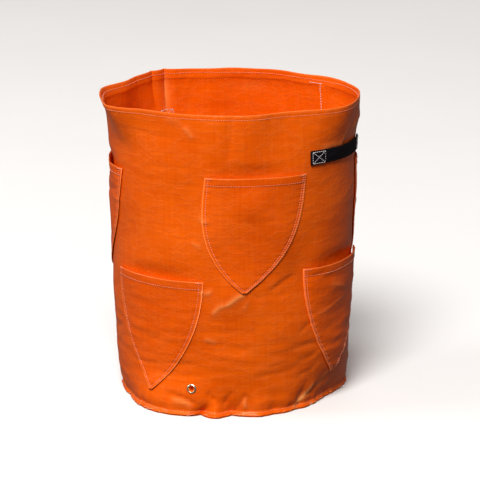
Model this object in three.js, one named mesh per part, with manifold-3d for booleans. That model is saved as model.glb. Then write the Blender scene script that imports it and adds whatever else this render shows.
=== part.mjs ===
// A strawberry grow bag: an open tub of woven plastic cloth on a flat base panel, with two rings of
// shield-shaped patch pockets, two webbing handle straps and metal drainage eyelets near the foot.
// Millimetres, +Z up, +X to the right, +Y to the back. The origin is the middle of the base, on the
// ground. A bearing is an angle round the bag in degrees, 0 at the front and growing to the right.

import * as THREE from "three";
import { mergeVertices } from "three/addons/utils/BufferGeometryUtils.js";
import Module from "manifold-3d";

// Bag: half sizes are those of a plain oval, which the sections and folds below change
const bagHeight = 450;
const bagHalfWidth = 182;
const bagHalfDepth = 167;
const clothThickness = 1.2;
const foldDepth = 12;

// Rim hem, where the cloth is folded in and lies double
const hemHeight = 14;

// Foot seam, whose allowance is turned out and lies on the edge of the base panel
const seamHeight = 7;
const seamReach = 5;
const baseThickness = 1.2;
const baseGap = 0.3;
const baseSetback = 0.3;

// Pockets, by their flat size; upper ones are set from the rim and lower ones from the ground
const pocketWidth = 158;
const pocketHeight = 176;
const pocketTipWidth = 5;
const upperPocketFlare = 3.1;
const lowerPocketFlare = 2.3;
const pocketHem = 13;
const pocketHemExtra = 0.6;
const pocketGap = 0.92;
const upperMouthDrop = 90;
const lowerTipHeight = 32;
const mouthBulge = 8;
const mouthDent = 6;
const dentRise = 16;

// Handle straps
const strapWidth = 21;
const strapThickness = 1.8;
const strapLength = 150;
const strapDrop = 69.5;
const strapGap = 0.6;
const strapSlack = 1.2;

// Drainage eyelets
const eyeletBore = 9;
const eyeletBarrel = 10.6;
const eyeletFlange = 14.5;
const eyeletFlangeThickness = 0.8;
const eyeletGap = 0.45;
const eyeletHeight = 41;

// Facets: columns round the bag, and the grid of a pocket and of a strap
const wallColumns = 92;
const pocketColumns = 10;
const pocketRows = 8;
const strapColumns = 16;
const strapRows = 2;
const eyeletSides = 14;

// The bag's outline from the seam up to the rim. Height is a share of bagHeight, left and right are
// shares of bagHalfWidth, front and back are shares of bagHalfDepth.
const SECTIONS = [
  { height: 0.0, left: 0.89, right: 0.905, front: 0.95, back: 0.96 },
  { height: 0.0333, left: 0.924, right: 0.934, front: 0.975, back: 0.98 },
  { height: 0.0622, left: 0.936, right: 0.94, front: 0.985, back: 0.99 },
  { height: 0.1156, left: 0.952, right: 0.946, front: 0.992, back: 0.998 },
  { height: 0.2222, left: 0.972, right: 0.955, front: 0.998, back: 1.005 },
  { height: 0.3111, left: 0.985, right: 0.964, front: 1.002, back: 1.008 },
  { height: 0.4, left: 0.988, right: 0.966, front: 1.006, back: 1.01 },
  { height: 0.4711, left: 0.988, right: 0.966, front: 1.006, back: 1.01 },
  { height: 0.5667, left: 0.99, right: 0.974, front: 1.006, back: 1.01 },
  { height: 0.6667, left: 0.996, right: 0.988, front: 1.002, back: 1.006 },
  { height: 0.7556, left: 0.998, right: 0.986, front: 0.994, back: 1.0 },
  { height: 0.8156, left: 1.008, right: 0.99, front: 0.988, back: 0.994 },
  { height: 0.8733, left: 1.018, right: 1.0, front: 0.98, back: 0.988 },
  { height: 0.9222, left: 1.034, right: 1.018, front: 0.972, back: 0.982 },
  { height: 0.9667, left: 1.056, right: 1.02, front: 0.964, back: 0.976 },
  { height: 1.0, left: 1.088, right: 1.022, front: 0.958, back: 0.97 },
];

// Folds, dents and gathers. A fold is a bump whose middle is at a bearing and a share of bagHeight.
// It fades over width degrees and over tall, a share of bagHeight, and turns by lean degrees over
// tall. Out is a share of foldDepth, outward if positive, and a sharp fold is creased to a line.
const FOLDS = [
  { name: "rim corner, right", at: 55, width: 15, up: 1, tall: 0.1, lean: 0, out: 1.35, sharp: true },
  { name: "rim swell, right", at: 70, width: 16, up: 1, tall: 0.1, lean: 0, out: 0.35, sharp: false },
  { name: "rim hollow, front", at: 27, width: 18, up: 1, tall: 0.22, lean: 4, out: -1.05, sharp: false },
  { name: "rim hollow, back right", at: 138, width: 28, up: 1, tall: 0.25, lean: 0, out: -0.8, sharp: false },
  { name: "rim swell, back left", at: -155, width: 20, up: 1, tall: 0.3, lean: 0, out: 0.85, sharp: false },
  { name: "rim ridge, back left", at: -138, width: 12, up: 1, tall: 0.19, lean: 0, out: 1.3, sharp: true },
  { name: "rim hollow, left", at: -113, width: 18, up: 1, tall: 0.2, lean: 0, out: -1.1, sharp: false },
  { name: "rim swell, left", at: -73, width: 16, up: 1, tall: 0.08, lean: 0, out: 0.4, sharp: false },
  { name: "rim corner, left", at: -61, width: 13, up: 1, tall: 0.07, lean: 0, out: 1.6, sharp: true },
  { name: "crease under the rim", at: -1, width: 6, up: 0.94, tall: 0.16, lean: 1, out: -0.2, sharp: true },
  { name: "fold across the belly", at: -2, width: 16, up: 0.4, tall: 0.12, lean: 8, out: 0.2, sharp: false },
  { name: "sag, front right", at: 34, width: 14, up: 0.5, tall: 0.2, lean: 10, out: -0.25, sharp: false },
  { name: "sag, front left", at: -22, width: 14, up: 0.62, tall: 0.2, lean: -6, out: -0.2, sharp: false },
  { name: "sag, back", at: 165, width: 24, up: 0.55, tall: 0.3, lean: 6, out: -0.35, sharp: false },
  { name: "foot swell, left", at: -37, width: 38, up: 0, tall: 0.16, lean: 0, out: 1.45, sharp: false },
  { name: "foot hollow, right", at: 62, width: 36, up: 0, tall: 0.2, lean: 0, out: -1.15, sharp: false },
  { name: "foot gather, left", at: -66, width: 8, up: 0, tall: 0.06, lean: 4, out: -0.3, sharp: true },
  { name: "gather by the eyelet", at: -17.5, width: 7, up: 0, tall: 0.055, lean: 6, out: -0.95, sharp: true },
  { name: "bulge by the eyelet", at: -9, width: 8, up: 0, tall: 0.06, lean: 0, out: 0.8, sharp: false },
  { name: "foot gather, front", at: -1, width: 6, up: 0, tall: 0.08, lean: -3, out: -0.4, sharp: true },
  { name: "foot bulge, front", at: 12, width: 12, up: 0, tall: 0.1, lean: 0, out: 0.6, sharp: false },
  { name: "foot gather, near right", at: 34, width: 8, up: 0, tall: 0.13, lean: 10, out: -0.45, sharp: true },
  { name: "foot gather, right", at: 61, width: 9, up: 0, tall: 0.1, lean: 8, out: -0.1, sharp: true },
  { name: "foot gather, behind", at: 132, width: 8, up: 0, tall: 0.1, lean: -6, out: -0.5, sharp: true },
  { name: "foot gather, back", at: 176, width: 9, up: 0, tall: 0.12, lean: 7, out: -0.55, sharp: true },
  { name: "foot gather, back left", at: -120, width: 8, up: 0, tall: 0.1, lean: 5, out: -0.45, sharp: true },
];

// Pockets. The mouth's middle is at a bearing, and lean is the turn from there to the tip.
// Tall and lift are shares of pocketHeight: how high the pocket is, and how far it sits above its
// row. Bulge and dent are shares of mouthBulge and mouthDent.
const POCKETS = [
  { row: "upper", side: "front", at: 11.7, lean: -6.5, tall: 0.97, lift: 0.0, bulge: 1.0, dent: 1.0 },
  { row: "upper", side: "right", at: 110, lean: -4, tall: 1.0, lift: -0.03, bulge: 0.62, dent: 1.15 },
  { row: "upper", side: "back", at: 190, lean: -5, tall: 1.0, lift: 0.0, bulge: 0.7, dent: 1.0 },
  { row: "upper", side: "left", at: -90, lean: -9, tall: 1.0, lift: -0.04, bulge: 0.6, dent: 1.15 },
  { row: "lower", side: "front_left", at: -40.7, lean: -2.2, tall: 0.98, lift: -0.02, bulge: 1.0, dent: 1.0 },
  { row: "lower", side: "front_right", at: 62.6, lean: -1.5, tall: 0.99, lift: 0.05, bulge: 1.2, dent: 0.9 },
  { row: "lower", side: "back_right", at: 147, lean: -4, tall: 1.0, lift: 0.0, bulge: 0.8, dent: 1.0 },
  { row: "lower", side: "back_left", at: 223, lean: -4, tall: 1.0, lift: 0.0, bulge: 0.8, dent: 1.0 },
];

// Straps run rightwards round the bag from the bearing of their first end
const STRAPS = [
  { name: "handle_strap_right", at: 40.5 },
  { name: "handle_strap_left", at: -149 },
];

// Eyelets stand evenly round the foot from the front one
const EYELETS = ["eyelet_front", "eyelet_back"];
const firstEyeletBearing = -21;

const meanRadius = (bagHalfWidth + bagHalfDepth) / 2;
const degreesAlong = (length) => THREE.MathUtils.radToDeg(length / meanRadius);
const footTop = baseThickness + baseGap;

const orangeCloth = new THREE.MeshStandardMaterial({ color: 0xec6100, roughness: 0.42, metalness: 0 });
const blackWebbing = new THREE.MeshStandardMaterial({ color: 0x17141a, roughness: 0.85, metalness: 0 });
const paleBrass = new THREE.MeshStandardMaterial({ color: 0xd9cc9c, roughness: 0.3, metalness: 1 });

// How far two bearings lie apart, between -180 and 180 degrees
function turnFrom(bearing, middle) {
  return THREE.MathUtils.euclideanModulo(bearing - middle + 180, 360) - 180;
}

// 1 in the middle of a fold and 0 at its edge, for a distance in shares of its half width
function rise(distance, sharp) {
  const near = Math.max(0, 1 - Math.abs(distance));
  return sharp ? near * near : near * near * (3 - 2 * near);
}

// How far one fold moves the wall, in mm, at a bearing and a share of the bag's height
function foldMove(fold, bearing, share) {
  const up = (share - fold.up) / fold.tall;
  const round = (turnFrom(bearing, fold.at) - fold.lean * up) / fold.width;
  return foldDepth * fold.out * rise(round, fold.sharp) * rise(up, false);
}

// A pocket's own measures at a place on the bag: down is 0 at the mouth and 1 at the tip, across is
// -1 and 1 at the sewn edges
function pocketMouth(pocket) {
  const row = pocket.row === "upper" ? bagHeight - upperMouthDrop : lowerTipHeight + pocketHeight;
  return row + pocket.lift * pocketHeight;
}

function pocketDepth(pocket) {
  return pocket.tall * pocketHeight;
}

function pocketHalfAngle(pocket, down) {
  const power = pocket.row === "upper" ? upperPocketFlare : lowerPocketFlare;
  const flare = 1 - Math.pow(THREE.MathUtils.clamp(down, 0, 1), power);
  return degreesAlong(THREE.MathUtils.lerp(pocketTipWidth, pocketWidth, flare) / 2);
}

function pocketMiddle(pocket, down) {
  return pocket.at + pocket.lean * THREE.MathUtils.clamp(down, 0, 1);
}

// The wall is pressed in behind a pocket's mouth, and a little above it
function dentMove(pocket, bearing, height) {
  const below = pocketMouth(pocket) - height;
  const down = below / pocketDepth(pocket);
  const across = turnFrom(bearing, pocketMiddle(pocket, down)) / pocketHalfAngle(pocket, down);
  const along = below > 0 ? Math.pow(Math.max(0, 1 - down), 2) : rise(below / dentRise, false);
  return -mouthDent * pocket.dent * Math.pow(Math.max(0, 1 - across * across), 2) * along;
}

// Distance of the cloth from the bag's axis at one section, without the dents behind the pockets
function sectionRadius(section, bearing) {
  const angle = THREE.MathUtils.degToRad(bearing);
  const side = (Math.sin(angle) < 0 ? section.left : section.right) * bagHalfWidth;
  const depth = (Math.cos(angle) > 0 ? section.front : section.back) * bagHalfDepth;
  const oval = 1 / Math.hypot(Math.sin(angle) / side, Math.cos(angle) / depth);
  return FOLDS.reduce((radius, fold) => radius + foldMove(fold, bearing, section.height), oval);
}

// The cloth runs straight from each section to the next, so that what lies on it can follow it
function clothRadius(bearing, height, dented) {
  const share = THREE.MathUtils.clamp(height / bagHeight, 0, 1);
  const above = Math.max(1, SECTIONS.findIndex((section) => section.height >= share));
  const [low, high] = [SECTIONS[above - 1], SECTIONS[above]];
  const [lowRadius, highRadius] = [low, high].map((section) => {
    const plain = sectionRadius(section, bearing);
    if (!dented) return plain;
    const level = section.height * bagHeight;
    return POCKETS.reduce((radius, pocket) => radius + dentMove(pocket, bearing, level), plain);
  });
  return THREE.MathUtils.lerp(lowRadius, highRadius, (share - low.height) / (high.height - low.height));
}

// A point on the cloth's outer face, moved out along the outline's own level normal
function onCloth(bearing, height, out = 0, dented = false) {
  const place = (turn) => {
    const radius = clothRadius(turn, height, dented);
    const angle = THREE.MathUtils.degToRad(turn);
    return new THREE.Vector3(radius * Math.sin(angle), -radius * Math.cos(angle), height);
  };
  const step = 0.5;
  const along = place(bearing + step).sub(place(bearing - step));
  const normal = new THREE.Vector3(along.y, -along.x, 0).normalize();
  return place(bearing).addScaledVector(normal, out);
}

function geometryOf(points, triangles) {
  const geometry = new THREE.BufferGeometry().setFromPoints(points);
  geometry.setIndex(triangles);
  geometry.computeVertexNormals();
  return geometry;
}

// A closed ring: a closed loop of places is carried once round the bag
function ringSolid(loop, place) {
  const points = [];
  const triangles = [];
  for (let column = 0; column < wallColumns; column += 1) {
    const bearing = (360 * column) / wallColumns;
    loop.forEach((at) => points.push(place(bearing, at)));
    const next = (column + 1) % wallColumns;
    for (let i = 0; i < loop.length; i += 1) {
      const j = (i + 1) % loop.length;
      const [a, b] = [column * loop.length + i, column * loop.length + j];
      const [c, d] = [next * loop.length + i, next * loop.length + j];
      triangles.push(a, c, b, b, c, d);
    }
  }
  return geometryOf(points, triangles);
}

// A closed sheet with an outer and an inner face: across runs from -1 to 1, down from 0 to 1
function sheetSolid(columns, rows, place) {
  const points = [];
  for (const face of ["outer", "inner"])
    for (let row = 0; row <= rows; row += 1)
      for (let column = 0; column <= columns; column += 1)
        points.push(place((2 * column) / columns - 1, row / rows, face));
  const inner = points.length / 2;
  const at = (row, column) => row * (columns + 1) + column;
  const triangles = [];
  const quad = (a, b, c, d) => triangles.push(a, b, c, a, c, d);
  for (let row = 0; row < rows; row += 1)
    for (let column = 0; column < columns; column += 1) {
      const corners = [at(row, column), at(row + 1, column), at(row + 1, column + 1), at(row, column + 1)];
      quad(...corners);
      quad(...corners.map((corner) => corner + inner).reverse());
    }
  const border = (a, b) => quad(a, b, b + inner, a + inner);
  for (let column = 0; column < columns; column += 1) {
    border(at(0, column), at(0, column + 1));
    border(at(rows, column + 1), at(rows, column));
  }
  for (let row = 0; row < rows; row += 1) {
    border(at(row + 1, 0), at(row, 0));
    border(at(row, columns), at(row + 1, columns));
  }
  return geometryOf(points, triangles);
}

const wasm = await Module();
wasm.setup();

function solidOf(geometry) {
  const bare = geometry.clone();
  bare.deleteAttribute("normal");
  bare.deleteAttribute("uv");
  const merged = mergeVertices(bare, 1e-4);
  const vertProperties = new Float32Array(merged.attributes.position.array);
  const triVerts = new Uint32Array(merged.index.array);
  return new wasm.Manifold(new wasm.Mesh({ numProp: 3, vertProperties, triVerts }));
}

function geometryFrom(solid) {
  const mesh = solid.getMesh();
  const geometry = new THREE.BufferGeometry();
  geometry.setAttribute("position", new THREE.BufferAttribute(mesh.vertProperties, 3));
  geometry.setIndex(new THREE.BufferAttribute(mesh.triVerts, 1));
  geometry.computeVertexNormals();
  return geometry;
}

// Where an eyelet stands: the middle of the cloth's thickness, and its axis square to the cloth
function eyeletFrame(bearing) {
  const middle = onCloth(bearing, eyeletHeight, -clothThickness / 2, true);
  const place = (turn, rise) => onCloth(bearing + turn, eyeletHeight + rise, 0, true);
  const reach = eyeletFlange / 2;
  const round = place(degreesAlong(reach), 0).sub(place(-degreesAlong(reach), 0));
  const up = place(0, reach).sub(place(0, -reach));
  const axis = round.cross(up).normalize();
  const turn = new THREE.Quaternion().setFromUnitVectors(new THREE.Vector3(0, 1, 0), axis);
  return new THREE.Matrix4().compose(middle, turn, new THREE.Vector3(1, 1, 1));
}

const eyeletBearings = EYELETS.map((name, index) => firstEyeletBearing + (360 / EYELETS.length) * index);

// The wall goes up its outer face, over the doubled hem and down its inner face to the foot seam
function bagWall() {
  const heights = SECTIONS.map((section) => section.height * bagHeight);
  const above = heights.filter((height) => height > seamHeight);
  const hemStart = bagHeight - hemHeight;
  const loop = [
    { height: footTop, out: seamReach },
    { height: footTop + clothThickness, out: seamReach },
    { height: seamHeight, out: 0 },
    ...above.map((height) => ({ height, out: 0 })),
    { height: bagHeight, out: -2 * clothThickness },
    { height: hemStart, out: -2 * clothThickness },
    { height: hemStart - clothThickness, out: -clothThickness },
    ...above
      .filter((height) => height < hemStart - 2 * clothThickness)
      .reverse()
      .map((height) => ({ height, out: -clothThickness })),
    { height: seamHeight - clothThickness / 2, out: -clothThickness },
    { height: footTop, out: seamReach - clothThickness },
  ];
  const whole = ringSolid(loop, (bearing, at) => onCloth(bearing, at.height, at.out, true));
  const bore = new THREE.CylinderGeometry(
    eyeletBarrel / 2 + eyeletGap,
    eyeletBarrel / 2 + eyeletGap,
    eyeletFlange,
    eyeletSides,
  );
  const bored = eyeletBearings.reduce(
    (solid, bearing) => solid.subtract(solidOf(bore.clone().applyMatrix4(eyeletFrame(bearing)))),
    solidOf(whole),
  );
  return new THREE.Mesh(geometryFrom(bored), orangeCloth.clone());
}

// The base panel is flat and reaches out under the seam allowance
function basePanel() {
  const points = [new THREE.Vector3(0, 0, 0), new THREE.Vector3(0, 0, baseThickness)];
  const triangles = [];
  for (let column = 0; column < wallColumns; column += 1) {
    const edge = onCloth((360 * column) / wallColumns, footTop, seamReach - baseSetback, true);
    points.push(new THREE.Vector3(edge.x, edge.y, 0), new THREE.Vector3(edge.x, edge.y, baseThickness));
    const low = 2 + 2 * column;
    const nextLow = 2 + 2 * ((column + 1) % wallColumns);
    triangles.push(0, nextLow, low, 1, low + 1, nextLow + 1);
    triangles.push(low, nextLow, nextLow + 1, low, nextLow + 1, low + 1);
  }
  return new THREE.Mesh(geometryOf(points, triangles), orangeCloth.clone());
}

// A patch pocket is sewn down along both sides to its tip, and its hemmed mouth stands open
function patchPocket(pocket) {
  const place = (across, down, face) => {
    const height = pocketMouth(pocket) - down * pocketDepth(pocket);
    const bearing = pocketMiddle(pocket, down) + across * pocketHalfAngle(pocket, down);
    const stand = mouthBulge * pocket.bulge * (1 - across * across) * Math.pow(1 - down, 2);
    const hemmed = down * pocketDepth(pocket) < pocketHem ? pocketHemExtra : 0;
    const thickness = face === "outer" ? clothThickness + hemmed : 0;
    return onCloth(bearing, height, pocketGap + stand + thickness);
  };
  const mesh = new THREE.Mesh(sheetSolid(pocketColumns, pocketRows, place), orangeCloth.clone());
  mesh.name = `${pocket.row}_pocket_${pocket.side}`;
  return mesh;
}

// A strap lies flat round the wall, sewn down at both ends, with a little slack between them
function handleStrap(strap) {
  const span = degreesAlong(strapLength);
  const place = (across, down, face) => {
    const bearing = strap.at + (span * (across + 1)) / 2;
    const height = bagHeight - strapDrop + strapWidth * (0.5 - down);
    const slack = strapSlack * Math.pow(1 - across * across, 2);
    return onCloth(bearing, height, strapGap + slack + (face === "outer" ? strapThickness : 0));
  };
  const mesh = new THREE.Mesh(sheetSolid(strapColumns, strapRows, place), blackWebbing.clone());
  mesh.name = strap.name;
  return mesh;
}

// An eyelet clamps the cloth between two flanges joined by a barrel
function eyelet(name, bearing) {
  const bore = eyeletBore / 2;
  const barrel = eyeletBarrel / 2;
  const flange = eyeletFlange / 2;
  const seat = clothThickness / 2 + eyeletGap;
  const face = seat + eyeletFlangeThickness;
  const chamfer = eyeletFlangeThickness / 2;
  const profile = [
    [bore, -face + chamfer],
    [bore + chamfer, -face],
    [flange - chamfer, -face],
    [flange, -seat],
    [barrel, -seat],
    [barrel, seat],
    [flange, seat],
    [flange - chamfer, face],
    [bore + chamfer, face],
    [bore, face - chamfer],
    [bore, -face + chamfer],
  ].map(([radius, along]) => new THREE.Vector2(radius, along));
  const mesh = new THREE.Mesh(new THREE.LatheGeometry(profile, eyeletSides), paleBrass.clone());
  mesh.name = name;
  mesh.applyMatrix4(eyeletFrame(bearing));
  return mesh;
}

const bag = new THREE.Group();
const wall = bagWall();
wall.name = "bag_wall";
const base = basePanel();
base.name = "base_panel";
bag.add(wall, base);
POCKETS.forEach((pocket) => bag.add(patchPocket(pocket)));
STRAPS.forEach((strap) => bag.add(handleStrap(strap)));
EYELETS.forEach((name, index) => bag.add(eyelet(name, eyeletBearings[index])));

export default bag;
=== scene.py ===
"""Looks of the strawberry grow bag: crumpled woven plastic cloth, patch pockets, webbing straps,
brass eyelets and every row of thread. Shapes are worked out in millimetres and written in metres."""

import math
import bpy
import numpy as np
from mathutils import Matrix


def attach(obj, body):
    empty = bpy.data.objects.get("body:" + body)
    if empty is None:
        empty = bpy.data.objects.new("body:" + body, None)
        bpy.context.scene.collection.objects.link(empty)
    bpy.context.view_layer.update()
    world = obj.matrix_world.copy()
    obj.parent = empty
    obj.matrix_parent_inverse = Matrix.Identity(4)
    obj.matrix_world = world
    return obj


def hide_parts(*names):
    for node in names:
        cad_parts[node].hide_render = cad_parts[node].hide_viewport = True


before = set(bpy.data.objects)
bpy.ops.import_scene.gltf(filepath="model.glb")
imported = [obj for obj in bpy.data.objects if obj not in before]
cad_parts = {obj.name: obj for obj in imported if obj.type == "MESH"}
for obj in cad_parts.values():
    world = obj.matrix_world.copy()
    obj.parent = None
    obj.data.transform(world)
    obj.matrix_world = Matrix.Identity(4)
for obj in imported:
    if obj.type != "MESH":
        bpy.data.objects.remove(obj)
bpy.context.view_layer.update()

MM = 0.001

# The bag, in millimetres
BAG_HEIGHT = 450.0
HALF_WIDTH = 182.0
HALF_DEPTH = 167.0
CLOTH = 1.2
FOLD_DEPTH = 12.0
HEM_HEIGHT = 14.0
HEM_STITCH = 6.8
SEAM_HEIGHT = 7.0
SEAM_REACH = 5.0
BASE_THICKNESS = 1.2
FOOT_TOP = 1.5
BACK_SEAM = 127.5
POCKET_WIDTH = 158.0
POCKET_HEIGHT = 176.0
TIP_WIDTH = 5.0
UPPER_FLARE = 3.1
LOWER_FLARE = 2.3
POCKET_HEM = 13.0
POCKET_STITCHES = (6.0, 2.4)
POCKET_GAP = 0.92
UPPER_MOUTH = 360.0
LOWER_MOUTH = 208.0
MOUTH_BULGE = 8.0
MOUTH_DENT = 4.4
DENT_RISE = 24.0
STRAP_WIDTH = 21.0
STRAP_THICKNESS = 1.8
STRAP_LENGTH = 150.0
STRAP_MIDDLE = BAG_HEIGHT - 69.5
STRAP_GAP = 0.6
STRAP_SLACK = 1.2
STRAP_SAG = 4.5
STRAP_BOX = 22.0
EYELET_HEIGHT = 41.0
EYELETS = {"front": -21.0, "back": 159.0}
EYELET_HOLE = 6.0
EYELET_REACH = 7.25
CREASE_DEPTH = 1.5
SEAM_STRIP_HALF = 6.0
SEAM_STRIP_THICKNESS = 0.9
MEAN_RADIUS = (HALF_WIDTH + HALF_DEPTH) / 2
MM_PER_DEGREE = MEAN_RADIUS * math.pi / 180

# Outline of the bag by height: shares of the height, and of the half sizes to the left, right,
# front and back
SECTIONS = np.array([
    (0.0, 0.89, 0.905, 0.95, 0.96),
    (0.0333, 0.924, 0.934, 0.975, 0.98),
    (0.0622, 0.936, 0.94, 0.985, 0.99),
    (0.1156, 0.952, 0.946, 0.992, 0.998),
    (0.2222, 0.972, 0.955, 0.998, 1.005),
    (0.3111, 0.985, 0.964, 1.002, 1.008),
    (0.4, 0.988, 0.966, 1.006, 1.01),
    (0.4711, 0.988, 0.966, 1.006, 1.01),
    (0.5667, 0.99, 0.974, 1.006, 1.01),
    (0.6667, 0.996, 0.988, 1.002, 1.006),
    (0.7556, 0.998, 0.986, 0.994, 1.0),
    (0.8156, 1.008, 0.99, 0.988, 0.994),
    (0.8733, 1.018, 1.0, 0.98, 0.988),
    (0.9222, 1.034, 1.018, 0.972, 0.982),
    (0.9667, 1.056, 1.02, 0.964, 0.976),
    (1.0, 1.088, 1.022, 0.958, 0.97),
])

# Large folds: bearing, half width in degrees, height and half height as shares, lean in degrees,
# how far out as a share of FOLD_DEPTH, and 1 where the fold is creased to a line
FOLDS = [
    (57, 18, 1, 0.17, 0, 0.95, 0),
    (70, 16, 1, 0.1, 0, 0.35, 0),
    (28, 20, 1, 0.24, 4, -0.8, 0),
    (138, 28, 1, 0.25, 0, -0.8, 0),
    (-155, 20, 1, 0.3, 0, 0.85, 0),
    (-138, 12, 1, 0.19, 0, 1.1, 1),
    (-145.5, 8, 1, 0.2, 0, 0.95, 1),
    (-113, 18, 1, 0.2, 0, -1.1, 0),
    (-73, 16, 1, 0.08, 0, 0.4, 0),
    (-62, 15, 1, 0.15, 0, 1.25, 0),
    (-1, 6, 0.94, 0.16, 1, -0.2, 1),
    (-2, 16, 0.4, 0.12, 8, 0.2, 0),
    (34, 14, 0.5, 0.2, 10, -0.25, 0),
    (-22, 14, 0.62, 0.2, -6, -0.2, 0),
    (165, 24, 0.55, 0.3, 6, -0.35, 0),
    (-37, 38, 0, 0.16, 0, 1.45, 0),
    (62, 36, 0, 0.2, 0, -1.15, 0),
    (-66, 8, 0, 0.06, 4, -0.3, 1),
    (-17.5, 7, 0, 0.055, 6, -0.95, 1),
    (-9, 8, 0, 0.06, 0, 0.8, 0),
    (-1, 6, 0, 0.08, -3, -0.4, 1),
    (12, 12, 0, 0.1, 0, 0.6, 0),
    (34, 8, 0, 0.13, 10, -0.45, 1),
    (61, 9, 0, 0.1, 8, -0.1, 1),
    (132, 8, 0, 0.1, -6, -0.5, 1),
    (176, 9, 0, 0.12, 7, -0.55, 1),
    (-120, 8, 0, 0.1, 5, -0.45, 1),
]

# Creases in the film: bearing and height of both ends, half width in mm, and how far out as a share
# of CREASE_DEPTH
CREASES = [
    (-11, 158, -4, 171, 3.0, 1.3),
    (-5, 170, 6.3, 188, 3.0, 1.6),
    (6.3, 186, 15, 179, 3.4, -1.1),
    (14, 180, 28, 182, 3.4, -0.9),
    (17, 189, 33, 209, 5.0, -1.3),
    (18, 197, 30, 213, 4.0, 0.6),
    (-17, 187, -10, 190, 2.4, 1.2),
    (4.5, 164, 8, 177, 2.4, 0.8),
    (-16, 109, 9, 105, 3.4, -0.9),
    (-15, 116, -8, 115, 2.6, 1.0),
    (26, 95, 46, 101, 4.0, -0.9),
    (33, 120, 43, 134, 3.6, -0.9),
    (33, 73, 47, 86, 4.0, -1.0),
    (35, 55, 48, 63, 4.0, -0.9),
    (33, 3, 47, 33, 3.2, 1.6),
    (33, 10, 61, 40, 5.0, -1.9),
    (50, 24, 62, 52, 3.4, 0.9),
    (-35, 33, -17, 18, 4.4, -1.7),
    (-31, 26, -20, 15, 3.0, 0.9),
    (-13.5, 36, -9, 24, 3.4, -1.4),
    (0, 37, -6, 16, 3.6, -1.3),
    (6, 34, 2, 8, 3.0, -1.2),
    (6, 34, 10, 8, 3.0, -1.2),
    (6, 30, 6, 12, 2.6, 0.9),
    (-26, 430, -19.5, 417, 2.8, 1.0),
    (-36, 441, -25, 434, 3.2, 0.7),
    (-60, 418, -29, 413, 6.0, -0.7),
    (-2.6, 446, -2.6, 388, 2.2, -0.7),
    (66, 423, 60, 382, 5.0, 0.9),
    (-18, 299, -12.5, 293, 2.4, 1.0),
    (-21, 264, -16, 253, 2.4, 0.9),
    (-33, 346, -16, 345, 4.0, -0.5),
    (-45, 369, -21, 370, 5.0, -0.5),
    (-53, 70, -16, 77, 4.2, -0.6),
    (-46, 55, -12, 60, 4.0, -0.6),
    (-50, 88, -22, 92, 4.0, 0.5),
    (37, 206, 49, 206, 3.4, -0.9),
    (12, 60, 34, 66, 4.6, -0.7),
    (10, 76, 30, 83, 4.4, 0.6),
    (-10, 92, 12, 88, 4.4, 0.5),
    (-8, 128, 14, 131, 4.6, -0.5),
    (10, 146, 34, 151, 4.8, -0.6),
    (-146, 446, -144, 360, 4.0, 1.2),
    (-158, 440, -154, 400, 5.0, -0.9),
    (118, 440, 150, 408, 5.0, -0.8),
    (160, 425, 186, 418, 5.0, 0.7),
]

# Pockets: mouth's middle, lean to the tip, height as a share, height of the mouth, bulge and dent
# as shares, how sharply the edges draw in, and how many rows of thread run down the left and the
# right edge
POCKETS = {
    "upper_pocket_front": (11.7, -6.5, 0.97, UPPER_MOUTH, 1.0, 1.0, UPPER_FLARE, 1, 2),
    "upper_pocket_right": (
        110, -4, 1.0, UPPER_MOUTH - 0.03 * POCKET_HEIGHT, 0.62, 1.15, UPPER_FLARE, 2, 2
    ),
    "upper_pocket_back": (190, -5, 1.0, UPPER_MOUTH, 0.7, 1.0, UPPER_FLARE, 2, 2),
    "upper_pocket_left": (
        -90, -9, 1.0, UPPER_MOUTH - 0.04 * POCKET_HEIGHT, 0.6, 1.15, UPPER_FLARE, 2, 1
    ),
    "lower_pocket_front_left": (
        -40.7, -2.2, 0.98, LOWER_MOUTH - 0.02 * POCKET_HEIGHT, 1.0, 1.0, LOWER_FLARE, 1, 1
    ),
    "lower_pocket_front_right": (
        62.6, -1.5, 0.99, LOWER_MOUTH + 0.05 * POCKET_HEIGHT, 1.2, 0.9, LOWER_FLARE, 2, 2
    ),
    "lower_pocket_back_right": (147, -4, 1.0, LOWER_MOUTH, 0.8, 1.0, LOWER_FLARE, 2, 2),
    "lower_pocket_back_left": (223, -4, 1.0, LOWER_MOUTH, 0.8, 1.0, LOWER_FLARE, 2, 2),
}

# The bearing where each strap begins
STRAPS = {"handle_strap_right": 40.5, "handle_strap_left": -149.0}

# The camera stands in front of the bag, higher than its rim: its place in metres, the degrees that
# it looks down, and its lens in mm
CAMERA_AT = (0.0097, -4.5, 1.465)
CAMERA_DOWN = 15.435
CAMERA_LENS = 234.6


def turn_from(bearing, middle):
    """How far two bearings lie apart, from -180 to 180 degrees."""
    return (bearing - middle + 180.0) % 360.0 - 180.0


def smooth(x):
    """0 below 0, 1 above 1, and a soft step between."""
    x = np.clip(x, 0.0, 1.0)
    return x * x * (3.0 - 2.0 * x)


def curve_through(x, table):
    """Each column of a table as a smooth curve over its first column: cubic between two rows, with
    the slope at a row taken from the rows on either side."""
    at, values = table[:, 0], table[:, 1:]
    slope = np.gradient(values, at, axis=0)
    i = np.clip(np.searchsorted(at, x, side="right") - 1, 0, len(at) - 2)
    span = at[i + 1] - at[i]
    t = np.clip((x - at[i]) / span, 0.0, 1.0)[..., None]
    span = span[..., None]
    return (
        (2 * t**3 - 3 * t**2 + 1) * values[i]
        + (t**3 - 2 * t**2 + t) * span * slope[i]
        + (3 * t**2 - 2 * t**3) * values[i + 1]
        + (t**3 - t**2) * span * slope[i + 1]
    )


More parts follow.
